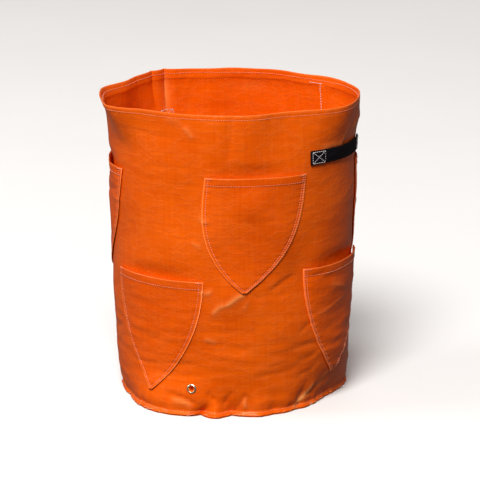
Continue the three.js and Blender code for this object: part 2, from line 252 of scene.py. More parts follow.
def waves(bearing, height, seed, count, turns, lengths=(50, 60)):
    """A sum of slanting sine waves that closes round the bag, of size about 1. turns are the least
    and the most waves round it, and lengths the shortest and the longest wave up it, in mm, which
    make no difference where the height given is 0 all over."""
    rng = np.random.default_rng(seed)
    total = np.zeros(np.broadcast(bearing, height).shape)
    for _ in range(count):
        across = rng.integers(turns[0], turns[1] + 1) * rng.choice([-1, 1])
        tall = rng.uniform(*lengths)
        phase = rng.uniform(0, 2 * math.pi)
        total = total + np.sin(np.radians(bearing) * across + 2 * math.pi * height / tall + phase)
    return total / math.sqrt(count)


def loose_creases(count=96):
    """Creases for the sides and the back, where the table has few, mostly level."""
    rng = np.random.default_rng(21)
    rows = []
    for _ in range(count):
        bearing, height = rng.uniform(52, 300), rng.uniform(20, 430)
        length, slope = rng.uniform(22, 95), rng.normal(0, 0.42)
        width, out = rng.uniform(2.4, 5.5), rng.choice([-1, 1]) * rng.uniform(0.35, 1.15)
        across = length * math.cos(slope) / MM_PER_DEGREE / 2
        up = length * math.sin(slope) / 2
        rows.append((bearing - across, height - up, bearing + across, height + up, width, out))
    return rows


ALL_CREASES = CREASES + loose_creases()
# Raised creases are painted paler: partly stress whitening of the film, partly a painted highlight on
# the ridge.
WEAR_AND_HIGHLIGHT_FROM, WEAR_AND_HIGHLIGHT_GAIN = 0.55, 1.6


def crease_move(bearing, height):
    """How far the creases move the film, and how pale the film is painted there, both from the
    distance to each crease's line: a tent shape that fades towards the crease's two ends. Only a
    crease that stands out by more than WEAR_AND_HIGHLIGHT_FROM is paled: partly stress whitening,
    partly a painted highlight on the raised ridge."""
    move = np.zeros(np.broadcast(bearing, height).shape)
    line = np.zeros_like(move)
    for from_bearing, from_height, to_bearing, to_height, width, out in ALL_CREASES:
        run = (to_bearing - from_bearing) * MM_PER_DEGREE
        up = to_height - from_height
        length = math.hypot(run, up)
        x = turn_from(bearing, (from_bearing + to_bearing) / 2) * MM_PER_DEGREE
        y = height - (from_height + to_height) / 2
        along = (x * run + y * up) / length / (length / 2)
        off = np.abs((x * up - y * run) / length + 1.2 * np.sin(along * 3.0 + from_height))
        near = np.exp(-off / width) * smooth((1.25 - np.abs(along)) / 0.8)
        near = near * (1.0 + 0.45 * smooth((70 - height) / 30))
        move = move + CREASE_DEPTH * out * near
        line = line + WEAR_AND_HIGHLIGHT_GAIN * max(out - WEAR_AND_HIGHLIGHT_FROM, 0.0) * near**1.2
    return move, line


def pocket_half_angle(down, flare):
    """Half of a pocket's width, in degrees, from its mouth at 0 to its tip at 1."""
    flare = 1.0 - np.clip(down, 0.0, 1.0) ** flare
    return (TIP_WIDTH + (POCKET_WIDTH - TIP_WIDTH) * flare) / 2 / MM_PER_DEGREE


def cloth_radius(bearing, height, detail=True):
    """Distance of the cloth's outer face from the bag's axis: the oval of its height, the large
    folds, the dents behind the pockets' mouths and, with detail, waves and creases."""
    bearing, height = np.broadcast_arrays(np.asarray(bearing, float), np.asarray(height, float))
    share = np.clip(height / BAG_HEIGHT, 0.0, 1.0)
    angle = np.radians(bearing)
    left, right, front, back = np.moveaxis(curve_through(share, SECTIONS), -1, 0)
    side = np.where(np.sin(angle) < 0, left, right) * HALF_WIDTH
    depth = np.where(np.cos(angle) > 0, front, back) * HALF_DEPTH
    radius = 1.0 / np.hypot(np.sin(angle) / side, np.cos(angle) / depth)
    for at, width, up, tall, lean, out, sharp in FOLDS:
        rise = (share - up) / tall
        near = np.clip(1.0 - np.abs(turn_from(bearing, at) - lean * rise) / width, 0.0, 1.0)
        bump = near * near if sharp else near * near * (3 - 2 * near)
        radius = radius + FOLD_DEPTH * out * bump * smooth(1.0 - np.abs(rise))
    for middle, lean, tall, mouth, _, dent, flare, *_ in POCKETS.values():
        below = mouth - height
        down = below / (tall * POCKET_HEIGHT)
        across = turn_from(bearing, middle + lean * np.clip(down, 0, 1))
        across = across / pocket_half_angle(down, flare)
        along = np.where(below > 0, np.clip(1 - down, 0, 1) ** 2, smooth(1 + below / DENT_RISE))
        radius = radius - MOUTH_DENT * dent * np.clip(1 - across**2, 0, 1) ** 2 * along
    if detail:
        radius = radius + film_move(bearing, height)
    return radius


def film_move(bearing, height):
    """Waves and creases of the film, with gathers along the rim and the foot, where the cloth is
    doubled. They fade near the eyelets."""
    broad = 0.75 * waves(bearing, height, 3, 9, (2, 7), (90, 260))
    low = smooth((230 - height) / 160)
    crinkle = waves(bearing, height, 5, 10, (3, 11), (15, 27)) * (0.05 + 0.24 * low)
    small = 0.05 * waves(bearing, height, 8, 12, (14, 40), (10, 40))
    move = broad + crinkle + small + crease_move(bearing, height)[0]
    gathers = 0.45 * waves(bearing, height * 0, 11, 8, (26, 70))
    move = move + gathers * (np.exp(-np.abs(height - (BAG_HEIGHT - HEM_STITCH)) / 9) * 0.5)
    move = move + 1.6 * gathers * np.exp(-np.abs(height - SEAM_HEIGHT) / 11)
    for at in EYELETS.values():
        away = np.hypot(turn_from(bearing, at) * MM_PER_DEGREE, height - EYELET_HEIGHT)
        move = move * smooth((away - 7.0) / 14.0)
    return move


def on_cloth(bearing, height, out=0.0, detail=True):
    """Points on the cloth's outer face, moved out along the level normal, in metres."""
    bearing, height, out = np.broadcast_arrays(
        np.asarray(bearing, float), np.asarray(height, float), np.asarray(out, float)
    )

    def place(turn):
        radius = cloth_radius(turn, height, detail)
        return np.stack(
            [radius * np.sin(np.radians(turn)), -radius * np.cos(np.radians(turn)), height], -1
        )

    along = place(bearing + 0.4) - place(bearing - 0.4)
    normal = np.stack([along[..., 1], -along[..., 0], np.zeros_like(height)], -1)
    normal = normal / np.linalg.norm(normal, axis=-1, keepdims=True)
    return (place(bearing) + normal * out[..., None]) * MM


def mesh_object(name, points, quads, uv=None, values=None):
    """A smooth-shaded mesh from points and four-cornered faces, turned so that they face out. uv
    has a pair for each face corner, and values are named numbers for each point."""
    points = np.asarray(points, float).reshape(-1, 3)
    quads = np.asarray(quads, int).reshape(-1, 4)
    corners = points[quads]
    halves = [np.cross(corners[:, i], corners[:, i + 1]) for i in (1, 2)]
    volume = sum(np.einsum("ij,ij->i", corners[:, 0], half).sum() for half in halves)
    if volume < 0:
        quads = quads[:, ::-1]
        uv = None if uv is None else uv[:, ::-1]
    mesh = bpy.data.meshes.new(name)
    mesh.vertices.add(len(points))
    mesh.vertices.foreach_set("co", points.astype(np.float32).ravel())
    mesh.loops.add(quads.size)
    mesh.loops.foreach_set("vertex_index", quads.ravel())
    mesh.polygons.add(len(quads))
    mesh.polygons.foreach_set("loop_start", np.arange(0, quads.size, 4))
    mesh.update(calc_edges=True)
    mesh.polygons.foreach_set("use_smooth", np.ones(len(quads), bool))
    if uv is not None:
        layer = mesh.uv_layers.new(name="cloth")
        layer.data.foreach_set("uv", np.asarray(uv, np.float32).ravel())
    for key, value in (values or {}).items():
        attribute = mesh.attributes.new(key, "FLOAT", "POINT")
        attribute.data.foreach_set("value", np.asarray(value, np.float32).ravel())
    mesh.validate()
    made = bpy.data.objects.new(name, mesh)
    bpy.context.collection.objects.link(made)
    return made


def grid_quads(rows, columns, closed_round=False, closed_down=False, start=0):
    """The faces of a grid of points, row by row, as indices, and the row and column of each
    corner before it wraps round."""
    row, column = np.meshgrid(
        np.arange(rows if closed_down else rows - 1),
        np.arange(columns if closed_round else columns - 1),
        indexing="ij",
    )
    row, column = row.ravel(), column.ravel()
    rows_at = np.stack([row, row, row + 1, row + 1], 1)
    columns_at = np.stack([column, column + 1, column + 1, column], 1)
    return start + (rows_at % rows) * columns + columns_at % columns, rows_at, columns_at


def tubes(middle, aside, up, thick, sides):
    """Thin round tubes, one for each row of middle points. Round every point lies a ring in the
    plane of the directions aside and up, with the radius thick. Returns points and faces."""
    count, steps = middle.shape[:2]
    turn = np.arange(sides) * 2 * math.pi / sides
    ring = (
        aside[:, :, None] * np.cos(turn)[None, None, :, None]
        + up[:, :, None] * np.sin(turn)[None, None, :, None]
    )
    points = middle[:, :, None] + ring * thick[..., None, None]
    quads = grid_quads(steps, sides, closed_round=True)[0]
    starts = np.arange(count)[:, None, None] * steps * sides
    return points.reshape(-1, 3), (quads[None] + starts).reshape(-1, 4)


def sew(place, across, down, pitch=3.7, gap=0.8, rise=0.42, radius=0.4):
    """A row of stitches along a line on a cloth: each is a short thread, round in section, whose
    middle stands up and whose ends sink into the cloth. Returns points and faces."""
    place_on = lambda a, d, out: place(a, d, np.broadcast_to(out, np.shape(a)))
    sunk = 0.3
    fine = np.linspace(0, 1, 400)
    steps = np.linspace(0, 1, len(across))
    across, down = np.interp(fine, steps, across), np.interp(fine, steps, down)
    line = place_on(across, down, 0.0) / MM
    length = np.concatenate([[0], np.cumsum(np.linalg.norm(np.diff(line, axis=0), axis=1))])
    count = max(1, int(round(length[-1] / pitch)))
    pitch = length[-1] / count
    t = np.linspace(0, 1, 6)
    at = (np.arange(count)[:, None] + 0.5 * gap / pitch) * pitch + t[None, :] * (pitch - gap)
    a, d = np.interp(at, length, across), np.interp(at, length, down)
    lift = -sunk + (rise + sunk) * np.sin(math.pi * t) ** 0.6
    middle = place_on(a, d, lift[None, :])
    outward = place_on(a, d, lift[None, :] + 1.0) - middle
    outward /= np.linalg.norm(outward, axis=-1, keepdims=True)
    ahead = np.gradient(middle, axis=1)
    ahead /= np.linalg.norm(ahead, axis=-1, keepdims=True)
    thick = radius * MM * (0.55 + 0.45 * np.sin(math.pi * t) ** 0.5)
    return tubes(middle, np.cross(ahead, outward), outward, thick[None, :], 6)


def joined(name, parts, material, slot):
    """Several lots of points and faces as one piece that rides on the bag."""
    points, quads, start = [], [], 0
    for some_points, some_quads in parts:
        points.append(some_points)
        quads.append(some_quads + start)
        start += len(some_points)
    dress(mesh_object(name, np.concatenate(points), np.concatenate(quads)), material, slot)


def dress(made, material, slot, *nodes):
    """Gives a piece its material, ties it to the bag, and hides the nodes it stands for."""
    made.data.materials.append(material)
    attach(made, "root")
    if nodes:
        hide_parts(*nodes)


# Materials


class Wire:
    """A number or vector inside a material, with the usual sums written as operators."""

    def __init__(self, tree, socket):
        self.tree, self.socket = tree, socket

    def math(self, kind, *others, clamp=False):
        made = self.tree.nodes.new("ShaderNodeMath")
        made.operation, made.use_clamp = kind, clamp
        for place, value in enumerate((self, *others)):
            join(self.tree, value, made.inputs[place])
        return Wire(self.tree, made.outputs[0])

    def __add__(self, other):
        return self.math("ADD", other)

    def __sub__(self, other):
        return self.math("SUBTRACT", other)

    def __mul__(self, other):
        return self.math("MULTIPLY", other)

    def __pow__(self, other):
        return self.math("POWER", other)

    def __abs__(self):
        return self.math("ABSOLUTE")

    def __neg__(self):
        return self.math("MULTIPLY", -1.0)

    def __rsub__(self, other):
        return (-self).math("ADD", other)

    __radd__, __rmul__ = __add__, __mul__

    def sin(self):
        return self.math("SINE")

    def clamp(self):
        return self.math("ADD", 0.0, clamp=True)


def join(tree, value, socket):
    """Sets a socket to a number, or links a wire to it."""
    if isinstance(value, Wire):
        tree.links.new(value.socket, socket)
    else:
        socket.default_value = value


class Cloth:
    """A new material with a principled surface, and short ways to add nodes to it."""

    def __init__(self, name, **constants):
        self.material = bpy.data.materials.new(name)
        self.material.use_nodes = True
        self.tree = self.material.node_tree
        self.surface = self.tree.nodes["Principled BSDF"]
        for key, value in constants.items():
            self.surface.inputs[key.replace("_", " ")].default_value = value

    def node(self, kind, output=0, settings=(), **inputs):
        made = self.tree.nodes.new("ShaderNode" + kind)
        for key, value in dict(settings).items():
            setattr(made, key, value)
        for key, value in inputs.items():
            join(self.tree, value, made.inputs[key.replace("_", " ")])
        return Wire(self.tree, made.outputs[output])

    def noise(self, vector, scale, detail=2.0, roughness=0.5, stretch=None):
        if stretch:
            vector = self.node("Mapping", Vector=vector, Scale=stretch)
        return self.node("TexNoise", Vector=vector, Scale=scale, Detail=detail, Roughness=roughness)

    def mix(self, share, first, second):
        made = self.tree.nodes.new("ShaderNodeMix")
        made.data_type = "RGBA"
        join(self.tree, share, made.inputs[0])
        join(self.tree, first, made.inputs[6])
        join(self.tree, second, made.inputs[7])
        return Wire(self.tree, made.outputs[2])

    def bump(self, height, distance, strength=1.0, under=None):
        made = self.tree.nodes.new("ShaderNodeBump")
        made.inputs["Distance"].default_value = distance
        made.inputs["Strength"].default_value = strength
        join(self.tree, height, made.inputs["Height"])
        if under is not None:
            join(self.tree, under, made.inputs["Normal"])
        return Wire(self.tree, made.outputs[0])

    def feed(self, **inputs):
        for key, value in inputs.items():
            join(self.tree, value, self.surface.inputs[key.replace("_", " ")])
        return self.material

    def parts(self, vector):
        split = self.tree.nodes.new("ShaderNodeSeparateXYZ")
        join(self.tree, vector, split.inputs[0])
        return [Wire(self.tree, output) for output in split.outputs]


def film_cloth(name, low, high, pale):
    """Woven plastic tape under a gloss film: crossing tapes, level and upright streaks, fine crumple
    lines, paler where it is creased or stands proud, partly as wear and partly as painted highlight,
    and uneven in gloss."""
    tape_width = 0.0026
    cloth = Cloth(
        name,
        IOR=1.5,
        Specular_IOR_Level=0.42,
        Specular_Tint=(1.0, 0.3, 0.07, 1),
        Coat_Roughness=0.15,
    )
    place = cloth.node("TexCoord", output=3)
    flat = cloth.node("UVMap", settings={"uv_map": "cloth"})
    across, up, _ = cloth.parts(flat)
    warp, weft = [(way * (math.pi / tape_width)).sin() for way in (across, up)]
    over = (warp * weft * 3.0 + 0.5).clamp()
    weave = abs(warp) ** 0.4 * over + abs(weft) ** 0.4 * (1.0 - over)
    fine = cloth.noise(place, 95.0, 3.0, 0.55, (1.0, 1.0, 2.2))
    middle = cloth.noise(place, 26.0, 4.0, 0.55, (1.0, 1.0, 2.0))
    broad = cloth.noise(place, 7.0, 3.0, 0.5)
    ridge = (1.0 - abs(middle * 2.0 - 1.0) * 2.2).clamp() ** 6.0
    small_ridge = (1.0 - abs(fine * 2.0 - 1.0) * 2.2).clamp() ** 5.0
    crease = cloth.node("Attribute", output=2, settings={"attribute_name": "creased"})
    level_streak = cloth.noise(flat, 230.0, 2.0, 0.5, (0.06, 1.0, 1.0))
    upright_streak = cloth.noise(flat, 230.0, 2.0, 0.5, (1.0, 0.05, 1.0))
    streak = level_streak + upright_streak - 1.0
    colour = cloth.mix(((broad - 0.35) * 2.0 + streak * 1.3).clamp(), low, high)
    colour = cloth.mix(((middle - 0.5) * 0.9 + 0.12).clamp(), colour, high)
    # Paler along raised creases, folded edges and proud ridges: partly stress whitening, partly painted
    # highlight.
    wear_and_highlight = (crease * 0.42 + ridge * 0.05 + small_ridge * 0.02).clamp()
    colour = cloth.mix(wear_and_highlight, colour, pale)
    relief = cloth.bump(ridge * 0.6 + small_ridge * 0.2 + middle * 0.5 + streak * 0.35, 0.0008, 0.4)
    relief = cloth.bump(weave, 0.00012, 0.5, relief)
    gloss = (0.40 + (fine - 0.5) * 0.28 + (broad - 0.5) * 0.2).clamp()
    return cloth.feed(
        Base_Color=colour,
        Roughness=gloss,
        Coat_Weight=((broad - 0.3) * 0.5 + 0.04).clamp(),
        Normal=relief,
    )


def webbing():
    """Flat tape of spun yarn: slanting ribs that meet in chevrons, with painted shade between the
    yarns. The widths are in metres."""
    chevron_width, rib_width, yarn_width = 0.0035, 0.0016, 0.00088
    cloth = Cloth("webbing", IOR=1.45, Specular_IOR_Level=0.15)
    flat = cloth.node("UVMap", settings={"uv_map": "cloth"})
    place = cloth.node("TexCoord", output=3)
    along, over, _ = cloth.parts(flat)
    chevron = abs((over * (math.pi / chevron_width)).sin().math("ARCSINE")) * 0.0011
    rib = abs(((along + chevron) * (math.pi / rib_width)).sin())
    yarn = abs((over * (math.pi / yarn_width)).sin())
    fuzz = cloth.noise(place, 900.0, 2.0)
    # Painted shade: darker in the grooves between the ribs and the yarns.
    body = cloth.mix((rib * yarn).clamp(), (0.003, 0.002, 0.004, 1), (0.011, 0.007, 0.013, 1))
    body = cloth.mix(((fuzz - 0.55) * 1.4).clamp(), body, (0.03, 0.024, 0.036, 1))
    relief = cloth.bump(rib * 0.7 + yarn * 0.5 + fuzz * 0.25, 0.0004, 0.8)
    return cloth.feed(Base_Color=body, Roughness=(0.62 + fuzz * 0.3).clamp(), Normal=relief)


def thread(name, pale, shade):
    """Twisted sewing thread."""
    cloth = Cloth(name, IOR=1.45, Sheen_Weight=0.2)
    place = cloth.node("TexCoord", output=3)
    fuzz = cloth.noise(place, 1400.0, 2.0)
    patch = cloth.noise(place, 60.0, 2.0)
    colour = cloth.mix((fuzz * 0.6 + (patch - 0.45) * 1.6).clamp(), shade, pale)
    return cloth.feed(
        Base_Color=colour,
        Roughness=(0.5 + fuzz * 0.3).clamp(),
        Normal=cloth.bump(fuzz, 0.0002, 0.6),
    )


def brass():
    """Pale plated brass with fine scratches and dull patches."""
    metal = Cloth("brass", Metallic=1.0)
    place = metal.node("TexCoord", output=3)
    patch = metal.noise(place, 240.0, 4.0)
    scratch = metal.noise(place, 1500.0, 2.0, 0.6, (1.0, 1.0, 8.0))
    colour = metal.mix(((patch - 0.4) * 2.0).clamp(), (0.80, 0.72, 0.50, 1), (0.62, 0.52, 0.31, 1))
    return metal.feed(
        Base_Color=colour,
        Roughness=(0.22 + (patch - 0.4) * 0.3 + scratch * 0.12).clamp(),
        Normal=metal.bump(scratch, 0.0001, 0.4),
    )


# The third colour of each film is the pale of creases and folded edges: partly stress whitening, partly
# painted highlight.
ORANGE = film_cloth(
    "bag film", (0.80, 0.093, 0.0005, 1), (0.93, 0.128, 0.001, 1), (1.0, 0.40, 0.12, 1)
)
PATCH = film_cloth(
    "pocket film", (0.81, 0.088, 0.0005, 1), (0.92, 0.121, 0.001, 1), (1.0, 0.36, 0.11, 1)
)
WEBBING = webbing()
THREAD = thread("pale thread", (0.98, 0.46, 0.30, 1), (0.86, 0.24, 0.11, 1))
FRAYED = thread("frayed tape", (0.93, 0.72, 0.5, 1), (0.88, 0.36, 0.13, 1))
WHITE_THREAD = thread("white thread", (0.9, 0.88, 0.88, 1), (0.55, 0.5, 0.52, 1))
BRASS = brass()


# The cloth of the bag

WALL_COLUMNS, OUTER_ROWS, INNER_ROWS = 480, 134, 42
BASE_RINGS = 26


def wall_profile():
    """The wall's section as rows of height and distance out: up the outer face, over the folded
    hem and down the inner face to the seam allowance, which is turned out over the base."""
    turn_out = SEAM_HEIGHT + 1.5
    hem_foot = BAG_HEIGHT - HEM_HEIGHT
    top = BAG_HEIGHT - 0.9
    edge = BAG_HEIGHT - 0.35
    outer = [(FOOT_TOP, SEAM_REACH), (FOOT_TOP + 0.2, SEAM_REACH + 0.25)]
    outer += [(FOOT_TOP + CLOTH, SEAM_REACH + 0.1)]
    for t in np.linspace(0.12, 1, 7):
        height = FOOT_TOP + CLOTH + (turn_out - FOOT_TOP - CLOTH) * t
        outer.append((height, SEAM_REACH * (1 - t) ** 1.25))
    outer += [(h, 0.0) for h in np.linspace(SEAM_HEIGHT + 3.5, top, OUTER_ROWS)]
    rim = [(edge, -0.3), (BAG_HEIGHT, -1.0), (BAG_HEIGHT, -1.5), (edge, -2.2)]
    inner = [(h, -2 * CLOTH) for h in np.linspace(top, hem_foot + 0.6, 6)]
    inner += [(hem_foot - 0.6, -2.25), (hem_foot - 2.2, -1.6)]
    inner += [(h, -CLOTH) for h in np.linspace(hem_foot - 3.6, turn_out, INNER_ROWS)]
    for t in np.linspace(0.85, 0, 5):
        out = -CLOTH + (SEAM_REACH - 0.2) * (1 - t) ** 1.25
        inner.append((FOOT_TOP + (SEAM_HEIGHT - FOOT_TOP) * t, out))
    return np.array(outer + rim + inner)


def make_wall():
    """The wall is its profile carried round the bag. The rim rises and falls a little, the rows of
    thread press the cloth in, the edge at the foot is frayed, and the upright seam lies as a
    doubled strip on the inside. A hole is open at each eyelet: faces nearer than its radius are
    left out, and points close to its edge are drawn onto it."""
    profile = wall_profile()
    bearing = np.arange(WALL_COLUMNS)[None, :] * 360.0 / WALL_COLUMNS
    height, out = profile[:, :1], profile[:, 1:]
    inner = np.arange(len(profile))[:, None] > np.argmax(profile[:, 0]) + 1
    groove = -0.35 * np.exp(-((height - (BAG_HEIGHT - HEM_STITCH)) / 1.3) ** 2)
    groove = groove - 0.3 * np.exp(-((height - SEAM_HEIGHT + 0.5) / 1.2) ** 2) * ~inner
    seam = smooth((SEAM_STRIP_HALF - np.abs(turn_from(bearing, BACK_SEAM)) * MM_PER_DEGREE) / 1.2)
    strip = np.where(inner, -SEAM_STRIP_THICKNESS * seam, 0.25 * seam)
    strip = strip * smooth((BAG_HEIGHT - HEM_HEIGHT - height) / 3)
    hem_wave = 0.5 * waves(bearing, height * 0, 31, 6, (5, 19)) * inner
    hem_wave = hem_wave * smooth((height - BAG_HEIGHT + 22) / 6) * smooth((BAG_HEIGHT - 2 - height) / 6)
    rim_wave = 0.5 * waves(bearing, height * 0, 17, 7, (3, 14))
    rim_wave = rim_wave * smooth((height - BAG_HEIGHT + 70) / 70)
    level = height + rim_wave + hem_wave
    fray = 0.45 * waves(bearing, height * 0, 41, 9, (30, 110))
    reach = out + groove * np.where(inner, -0.6, 1.0) + strip
    reach = reach + fray * smooth((out - 3.2) / 1.6)
    points = on_cloth(bearing, level, reach).reshape(-1, 3)
    quads, rows_at, columns_at = grid_quads(len(profile), WALL_COLUMNS, True, True)
    ring = np.concatenate([bearing[0], [360.0]]) * MM_PER_DEGREE * MM
    rise = np.concatenate([profile[:, 0], profile[:1, 0]]) * MM
    uv = np.stack([ring[columns_at], rise[rows_at]], -1)
    # Painted paler along raised creases, partly wear and partly painted highlight, and a painted
    # highlight along the rim's folded top edge.
    creased = crease_move(bearing, level)[1]
    creased = creased + 0.4 * smooth((height - BAG_HEIGHT + 1.5) / 1.2)
    keep = np.ones(len(quads), bool)
    turn = np.broadcast_to(bearing, level.shape).ravel()
    level, reach = level.ravel(), reach.ravel()
    for at in EYELETS.values():
        away = np.hypot(turn_from(turn, at) * MM_PER_DEGREE, level - EYELET_HEIGHT)
        keep &= away[quads].mean(1) > EYELET_HOLE
        near = (away > EYELET_HOLE - 2.4) & (away < EYELET_HOLE + 1.6)
        pull = EYELET_HOLE / away[near] - 1
        points[near] = on_cloth(
            turn[near] + turn_from(turn[near], at) * pull,
            level[near] + (level[near] - EYELET_HEIGHT) * pull,
            reach[near],
        )
    made = mesh_object("bag_cloth_wall", points, quads[keep], uv[keep], {"creased": creased})
    dress(made, ORANGE, "bag_cloth", "bag_wall")


def make_base():
    """The base panel is a flat round cloth, rippled near its edge, where the gathers of the foot
    seam reach in over it. It is a closed disc: rings from the middle out on top, then back below."""
    bearing = np.arange(WALL_COLUMNS)[None, :] * 360.0 / WALL_COLUMNS
    ring_shares = np.linspace(0.002, 0.999, BASE_RINGS), np.linspace(0.999, 0.002, BASE_RINGS)
    share = np.concatenate(ring_shares)[:, None]
    upper = np.arange(2 * BASE_RINGS)[:, None] < BASE_RINGS
    flat = on_cloth(bearing, FOOT_TOP, SEAM_REACH - 0.3)[..., :2] * share[..., None]
    ripple = waves(bearing, share * 0, 51, 10, (10, 44))
    ripple = 0.12 * (1 + np.clip(ripple, -1, 1)) * smooth((share - 0.72) / 0.2)
    tread = 0.10 * (1 + np.sin(share * 31 + 2 * np.sin(np.radians(bearing) * 3)))
    top = BASE_THICKNESS - 0.05 - tread * smooth((0.9 - share) / 0.2)
    height = np.where(upper, top + ripple * 0.4, tread * 0.6 * (share < 0.93)) * MM
    points = np.concatenate([flat, height[..., None]], -1)
    quads, rows_at, columns_at = grid_quads(2 * BASE_RINGS, WALL_COLUMNS, True)
    uv = np.concatenate([flat, flat[:, :1]], 1)[rows_at, columns_at]
    made = mesh_object("bag_base", points, quads, uv, {"creased": np.zeros(height.shape)})
    dress(made, ORANGE, "bag_cloth", "base_panel")


def pocket_place(name):
    """A function that gives points on a pocket: across runs from -1 to 1, down from 0 to 1, and out
    is the distance from the side that faces the wall."""
    middle, lean, tall, mouth, bulge, _, flare, *_ = POCKETS[name]
    depth = tall * POCKET_HEIGHT

    def place(across, down, out):
        half = pocket_half_angle(down, flare)
        bearing = middle + lean * down + across * half
        height = mouth - down * depth
        stand = MOUTH_BULGE * bulge * (1 - across**2) * (1 - down) ** 2
        sag = 1.2 * waves(bearing, height, 500 + int(middle), 6, (4, 12), (70, 180))
        sag = np.clip(1 - across**2, 0, 1) * smooth((1 - down) * 2.0) * np.maximum(sag, -0.5)
        inset = (1 - np.abs(across)) * half * MM_PER_DEGREE
        from_stitches = inset - POCKET_STITCHES[0]
        seam = np.exp(-(from_stitches / 1.5) ** 2) * smooth(down * 8)
        pucker = 0.35 * np.sin(down * depth * 0.62 + 3 * np.sin(down * 9))
        pucker = pucker * np.exp(-(from_stitches / 6) ** 2)
        lip = 0.7 * smooth((3.2 - inset) / 3.0) * smooth(down * 6)
        hem = 0.6 * smooth((POCKET_HEM - down * depth) / 1.5)
        hem = hem - 0.35 * np.exp(-((down * depth - POCKET_HEM + 1.5) / 1.2) ** 2)
        face = np.clip(out / CLOTH, 0, 1)
        away = POCKET_GAP + stand + sag + lip + (0.35 + pucker) * smooth(1 - np.abs(across) ** 8)
        return on_cloth(bearing, height, away + out + (hem - 0.5 * seam) * face)

    return place


POCKET_COLUMNS, POCKET_ROWS = 64, 88


def make_pocket(name):
    """A pocket is a closed sheet: a ring that goes across the outer face and back on the inner one,
    carried from the mouth down to the tip, with both ends drawn together."""
    place = pocket_place(name)
    side = np.linspace(-1, 1, POCKET_COLUMNS)
    across = np.concatenate([side, side[::-1]])[None, :]
    outer = (np.arange(2 * POCKET_COLUMNS) < POCKET_COLUMNS)[None, :]
    down = np.concatenate([[0.0], np.linspace(0.0, 1.0, POCKET_ROWS), [1.0]])[:, None]
    thick = np.full(down.shape, CLOTH)
    thick[0], thick[-1] = 0.5, 0.5
    round_edge = np.clip((1 - np.abs(across)) * 60, 0, 1) ** 0.5
    out = CLOTH / 2 + (thick / 2) * round_edge * np.where(outer, 1.0, -1.0)
    across, down = np.broadcast_arrays(across, down)
    points = place(across, down, out)
    quads, rows_at, columns_at = grid_quads(*across.shape, True)
    middle, lean, tall, mouth, _, _, flare, *_ = POCKETS[name]
    bearing = middle + lean * down + across * pocket_half_angle(down, flare)
    height = mouth - down * tall * POCKET_HEIGHT
    flat = np.stack([bearing * MM_PER_DEGREE * MM + 0.0011, height * MM + 0.0009], -1)
    flat = np.concatenate([flat, flat[:, :1]], 1)
    # Painted paler along raised creases, partly wear and partly painted highlight; the folded side
    # edges and the mouth's edge get a painted highlight.
    creased = crease_move(bearing, height)[1]
    edge = smooth(1 - (1 - np.abs(across)) * pocket_half_angle(down, flare) * MM_PER_DEGREE / 3.0)
    creased = creased + 0.8 * edge + 0.6 * smooth(1 - down * tall * POCKET_HEIGHT / 1.6)
    uv = flat[rows_at, columns_at]
    made = mesh_object(name + "_cloth", points, quads, uv, {"creased": creased})
    dress(made, PATCH, "pocket_cloth", name)


def strap_place(name):
    """A function that gives points on a strap: across runs from -1 to 1 along its length, down from
    0 to 1 over its width, and out is the distance from the side that faces the wall."""
    span = STRAP_LENGTH / MM_PER_DEGREE

    def place(across, down, out):
        bearing = STRAPS[name] + span * (across + 1) / 2
        height = STRAP_MIDDLE - STRAP_SAG * (across + 1) ** 2 / 4 + STRAP_WIDTH * (0.5 - down)
        slack = STRAP_SLACK * (1 - across**2) ** 2
        ends = 0.9 * smooth((np.abs(across) - 0.64) / 0.03)
        edge = 0.25 * np.sin(across * 37) * np.abs(2 * down - 1) ** 2 * (1 - across**2)
        face = np.clip(out / STRAP_THICKNESS, 0, 1)
        return on_cloth(bearing, height + edge, STRAP_GAP + slack + out + ends * face)

    return place


STRAP_COLUMNS, STRAP_ROWS = 14, 180


def make_strap(name):
    """A strap is a ring round its own section, carried along it, with rounded edges and ends."""
    place = strap_place(name)
    down = np.linspace(0, 1, STRAP_COLUMNS)
    down_ring = np.concatenate([down, down[::-1]])[None, :]
    outer = (np.arange(2 * STRAP_COLUMNS) < STRAP_COLUMNS)[None, :]
    across = np.concatenate([[-1.0], np.linspace(-1, 1, STRAP_ROWS), [1.0]])[:, None]
    thick = np.full(across.shape, STRAP_THICKNESS)
    thick[0], thick[-1] = 0.8, 0.8
    round_edge = np.clip((1 - np.abs(2 * down_ring - 1)) * 5, 0.3, 1) ** 0.5
    out = STRAP_THICKNESS / 2 + thick / 2 * round_edge * np.where(outer, 1.0, -1.0)
    across, down_ring = np.broadcast_arrays(across, down_ring)
    points = place(across, down_ring, out)
    quads, rows_at, columns_at = grid_quads(*across.shape, True)
    flat = np.stack([across * STRAP_LENGTH / 2, down_ring * STRAP_WIDTH], -1) * MM
    flat = np.concatenate([flat, flat[:, :1]], 1)
    made = mesh_object(name + "_tape", points, quads, flat[rows_at, columns_at])
    dress(made, WEBBING, "webbing", name)


def eyelet_frame(bearing):
    """Middle, outward axis and two square directions of an eyelet, in metres."""
    middle = on_cloth(bearing, EYELET_HEIGHT, -CLOTH / 2, False)
    side = EYELET_REACH / MM_PER_DEGREE
    round_way = on_cloth(bearing + side, EYELET_HEIGHT, 0, False) - on_cloth(
        bearing - side, EYELET_HEIGHT, 0, False
    )
    up_way = on_cloth(bearing, EYELET_HEIGHT + EYELET_REACH, 0, False) - on_cloth(
        bearing, EYELET_HEIGHT - EYELET_REACH, 0, False
    )
    axis = np.cross(round_way, up_way)
    axis /= np.linalg.norm(axis)
    first = np.cross(axis, (0, 0, 1.0))
    first /= np.linalg.norm(first)
    return middle, axis, first, np.cross(axis, first)


